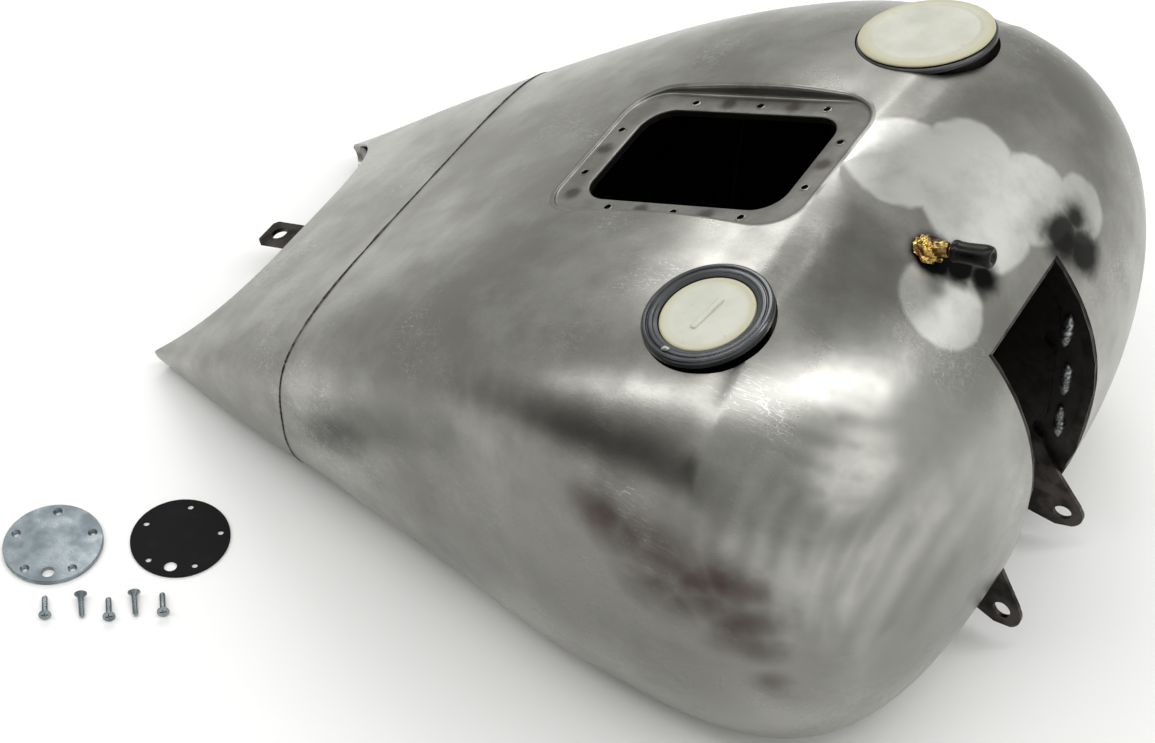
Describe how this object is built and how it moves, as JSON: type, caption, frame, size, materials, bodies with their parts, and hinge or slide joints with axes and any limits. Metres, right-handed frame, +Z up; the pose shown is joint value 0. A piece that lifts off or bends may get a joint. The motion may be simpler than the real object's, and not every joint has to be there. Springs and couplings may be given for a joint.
{
  "type": "motorcycle fuel tank",
  "caption": "One-piece stretched fuel tank: two rounded lobes over a tunnel, a sunk pump opening, capped filler and sender rings, a horned tail, brackets and a loose cover kit.",
  "frame": {"origin": "on the surface that everything rests on, below the middle of the whole box, loose kit included; the tank's own centre plane is at y = 0.0535", "axes": "+X towards the front of the tank, +Y towards its left side, +Z up"},
  "size_m": [0.6206, 0.5772, 0.3061],
  "materials": {
    "brushed_steel": "bare steel, blended and swirl polished, with scratches and faint heat marks",
    "raw_sheet": "dull unpolished sheet steel, darkened by welding",
    "machined_steel": "dark turned steel",
    "dark_steel": "dark brown-black mill scale",
    "white_plastic": "ivory moulded plastic",
    "brass": "brazed brass, partly tarnished",
    "black_rubber": "smooth black rubber",
    "zinc_plate": "bright zinc plating, slightly blue",
    "gasket_fibre": "matte black gasket sheet"
  },
  "bodies": {
    "tank": {"right_body_shell": "brushed_steel", "left_body_shell": "brushed_steel", "tail_extension": "brushed_steel", "pump_panel": "brushed_steel", "seam_backing_strip": "raw_sheet", "tail_closing_panel": "raw_sheet", "tunnel_channel": "raw_sheet", "right_floor_pan": "raw_sheet", "left_floor_pan": "raw_sheet", "pump_nut_ring": "raw_sheet", "right_rim_flange": "raw_sheet", "left_rim_flange": "raw_sheet", "right_baffle": "raw_sheet", "left_baffle": "raw_sheet", "sender_cup": "raw_sheet", "vent_tube": "raw_sheet", "filler_bung": "machined_steel", "sender_ring": "machined_steel", "petcock_bung": "machined_steel", "right_crossover_nipple": "machined_steel", "left_crossover_nipple": "machined_steel", "vent_elbow": "brass", "right_front_bracket": "dark_steel", "left_front_bracket": "dark_steel", "rear_mount_tab": "dark_steel"},
    "filler_plug_seal": {"filler_plug_seal": "black_rubber"},
    "filler_plug": {"filler_plug": "white_plastic"},
    "sender_cap": {"sender_cap": "white_plastic"},
    "vent_cap": {"vent_cap": "black_rubber"},
    "cover_plate": {"cover_plate": "zinc_plate"},
    "cover_gasket": {"cover_gasket": "gasket_fibre"},
    "cover_screws": {"cover_screw_1": "zinc_plate", "cover_screw_2": "zinc_plate", "cover_screw_3": "zinc_plate", "cover_screw_4": "zinc_plate", "cover_screw_5": "zinc_plate"}
  },
  "joints": [
    {"name": "filler_lift", "type": "slide", "parent": "tank", "child": "filler_plug_seal", "axis": [-0.2404, -0.1132, 0.9641], "range_m": [0, 0.0121]},
    {"name": "filler_turn", "type": "hinge", "parent": "filler_plug_seal", "child": "filler_plug", "pos_m": [0.1317, -0.0856, 0.2922], "axis": [-0.2404, -0.1132, 0.9641], "range_deg": [0, 1080]},
    {"name": "sender_cap_pull", "type": "slide", "parent": "tank", "child": "sender_cap", "axis": [-0.2404, 0.1132, 0.9641], "range_m": [0, 0.03]},
    {"name": "vent_cap_pull", "type": "slide", "parent": "tank", "child": "vent_cap", "axis": [0.9659, 0, 0.2588], "range_m": [0, 0.02]},
    {"name": "cover_plate_lift", "type": "slide", "parent": "tank", "child": "cover_plate", "axis": [0, 0, 1], "range_m": [0, 0.08]},
    {"name": "cover_gasket_lift", "type": "slide", "parent": "tank", "child": "cover_gasket", "axis": [0, 0, 1], "range_m": [0, 0.08]},
    {"name": "cover_screws_lift", "type": "slide", "parent": "tank", "child": "cover_screws", "axis": [0, 0, 1], "range_m": [0, 0.08]}
  ],
  "couplings": [
    {"joint": "filler_lift", "follows": "filler_turn", "m_per_rad": 0.00063662}
  ]
}
